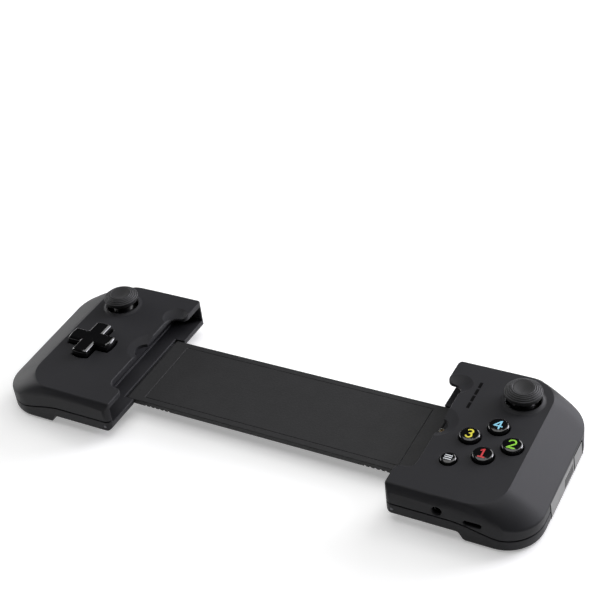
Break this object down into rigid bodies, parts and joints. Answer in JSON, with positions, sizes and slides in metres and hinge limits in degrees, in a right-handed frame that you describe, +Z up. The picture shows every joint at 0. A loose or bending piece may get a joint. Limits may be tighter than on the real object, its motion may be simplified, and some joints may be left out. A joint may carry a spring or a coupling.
{
  "type": "mobile game controller",
  "caption": "Clip-on game controller: left and right grips with thumb sticks, cross pad, buttons, bumpers and triggers, joined by a hinged flexible strap, with a bay for a phone between them.",
  "frame": {"origin": "on the table under the middle of the controller's bounding box", "axes": "+X along the length towards the half with the round buttons, +Y away from the player towards the triggers, +Z up out of the face"},
  "size_m": [0.257, 0.0862, 0.0273],
  "materials": {
    "soft_black_plastic": "soft-touch matte black moulded plastic",
    "gloss_black_plastic": "polished black moulded plastic",
    "stick_rubber": "matte black rubber",
    "strap_rubber": "matte black flexible rubber",
    "silicone": "translucent grey silicone",
    "steel": "bright steel",
    "circuit_board": "green solder mask on glass-fibre board",
    "flex_cable": "amber flexible film",
    "light_window": "smoked clear plastic",
    "plug_metal": "plated metal",
    "cell_foil": "foil pouch"
  },
  "bodies": {
    "bridge": {"bridge_strap": "strap_rubber", "bridge_cover": "strap_rubber", "bridge_flex_cable": "flex_cable"},
    "left_half": {"left_hinge_pin": "steel", "left_front_housing": "soft_black_plastic", "left_rear_housing": "soft_black_plastic", "left_board": "circuit_board", "left_screws": "steel", "left_stick_base": "gloss_black_plastic", "cross_pad_post": "gloss_black_plastic", "cross_pad_membrane": "silicone", "left_bumper_switch": "gloss_black_plastic", "left_trigger_pin": "steel", "battery_cell": "cell_foil"},
    "right_half": {"right_hinge_pin": "steel", "right_front_housing": "soft_black_plastic", "right_rear_housing": "soft_black_plastic", "right_board": "circuit_board", "right_screws": "steel", "right_stick_base": "gloss_black_plastic", "button_membrane": "silicone", "right_bumper_switch": "gloss_black_plastic", "right_trigger_pin": "steel", "charge_light_guide": "light_window", "headphone_socket": "gloss_black_plastic", "charging_socket": "plug_metal", "phone_plug": "plug_metal", "end_panel": "soft_black_plastic", "end_cover": "soft_black_plastic"},
    "left_gimbal": {"left_stick_gimbal": "gloss_black_plastic"},
    "left_stick": {"left_stick_shaft": "gloss_black_plastic", "left_stick_cap": "stick_rubber"},
    "right_gimbal": {"right_stick_gimbal": "gloss_black_plastic"},
    "right_stick": {"right_stick_shaft": "gloss_black_plastic", "right_stick_cap": "stick_rubber"},
    "pad_ball": {"cross_pad_ball": "steel"},
    "pad": {"cross_pad": "gloss_black_plastic"},
    "button_bottom": {"button_bottom": "gloss_black_plastic"},
    "button_right": {"button_right": "gloss_black_plastic"},
    "button_left": {"button_left": "gloss_black_plastic"},
    "button_top": {"button_top": "gloss_black_plastic"},
    "menu_button": {"menu_button": "gloss_black_plastic"},
    "left_bumper": {"left_bumper": "soft_black_plastic"},
    "right_bumper": {"right_bumper": "soft_black_plastic"},
    "left_trigger": {"left_trigger": "gloss_black_plastic"},
    "right_trigger": {"right_trigger": "gloss_black_plastic"}
  },
  "joints": [
    {"name": "left_fold", "type": "hinge", "parent": "bridge", "child": "left_half", "pos_m": [-0.0697, -0.0012, 0.00709], "axis": [0, 1, 0], "range_deg": [0, 90]},
    {"name": "right_fold", "type": "hinge", "parent": "bridge", "child": "right_half", "pos_m": [0.0697, -0.0012, 0.00709], "axis": [0, -1, 0], "range_deg": [0, 90]},
    {"name": "left_stick_fore_aft", "type": "hinge", "parent": "left_half", "child": "left_gimbal", "pos_m": [-0.1015, 0.0241, 0.0141], "axis": [1, 0, 0], "range_deg": [-13, 13], "stiffness_Nm_per_rad": 0.03},
    {"name": "left_stick_side", "type": "hinge", "parent": "left_gimbal", "child": "left_stick", "pos_m": [-0.1015, 0.0241, 0.0141], "axis": [0, 1, 0], "range_deg": [-13, 13], "stiffness_Nm_per_rad": 0.03},
    {"name": "right_stick_fore_aft", "type": "hinge", "parent": "right_half", "child": "right_gimbal", "pos_m": [0.1015, 0.0241, 0.0141], "axis": [1, 0, 0], "range_deg": [-13, 13], "stiffness_Nm_per_rad": 0.03},
    {"name": "right_stick_side", "type": "hinge", "parent": "right_gimbal", "child": "right_stick", "pos_m": [0.1015, 0.0241, 0.0141], "axis": [0, 1, 0], "range_deg": [-13, 13], "stiffness_Nm_per_rad": 0.03},
    {"name": "pad_fore_aft", "type": "hinge", "parent": "left_half", "child": "pad_ball", "pos_m": [-0.0992, -0.0054, 0.0153], "axis": [1, 0, 0], "range_deg": [-4, 4], "stiffness_Nm_per_rad": 0.08},
    {"name": "pad_side", "type": "hinge", "parent": "pad_ball", "child": "pad", "pos_m": [-0.0992, -0.0054, 0.0153], "axis": [0, 1, 0], "range_deg": [-4, 4], "stiffness_Nm_per_rad": 0.08},
    {"name": "button_bottom_press", "type": "slide", "parent": "right_half", "child": "button_bottom", "axis": [0, 0, -1], "range_m": [0, 0.0012], "stiffness_N_per_m": 700},
    {"name": "button_right_press", "type": "slide", "parent": "right_half", "child": "button_right", "axis": [0, 0, -1], "range_m": [0, 0.0012], "stiffness_N_per_m": 700},
    {"name": "button_left_press", "type": "slide", "parent": "right_half", "child": "button_left", "axis": [0, 0, -1], "range_m": [0, 0.0012], "stiffness_N_per_m": 700},
    {"name": "button_top_press", "type": "slide", "parent": "right_half", "child": "button_top", "axis": [0, 0, -1], "range_m": [0, 0.0012], "stiffness_N_per_m": 700},
    {"name": "menu_button_press", "type": "slide", "parent": "right_half", "child": "menu_button", "axis": [0, 0, -1], "range_m": [0, 0.0008], "stiffness_N_per_m": 900},
    {"name": "left_bumper_press", "type": "slide", "parent": "left_half", "child": "left_bumper", "axis": [0, -1, 0], "range_m": [0, 0.0008], "stiffness_N_per_m": 1500},
    {"name": "right_bumper_press", "type": "slide", "parent": "right_half", "child": "right_bumper", "axis": [0, -1, 0], "range_m": [0, 0.0008], "stiffness_N_per_m": 1500},
    {"name": "left_trigger_pull", "type": "hinge", "parent": "left_half", "child": "left_trigger", "pos_m": [-0.0993, 0.0353, 0.0092], "axis": [-1, 0, 0], "range_deg": [0, 8], "stiffness_Nm_per_rad": 0.15},
    {"name": "right_trigger_pull", "type": "hinge", "parent": "right_half", "child": "right_trigger", "pos_m": [0.0993, 0.0353, 0.0092], "axis": [-1, 0, 0], "range_deg": [0, 8], "stiffness_Nm_per_rad": 0.15}
  ]
}
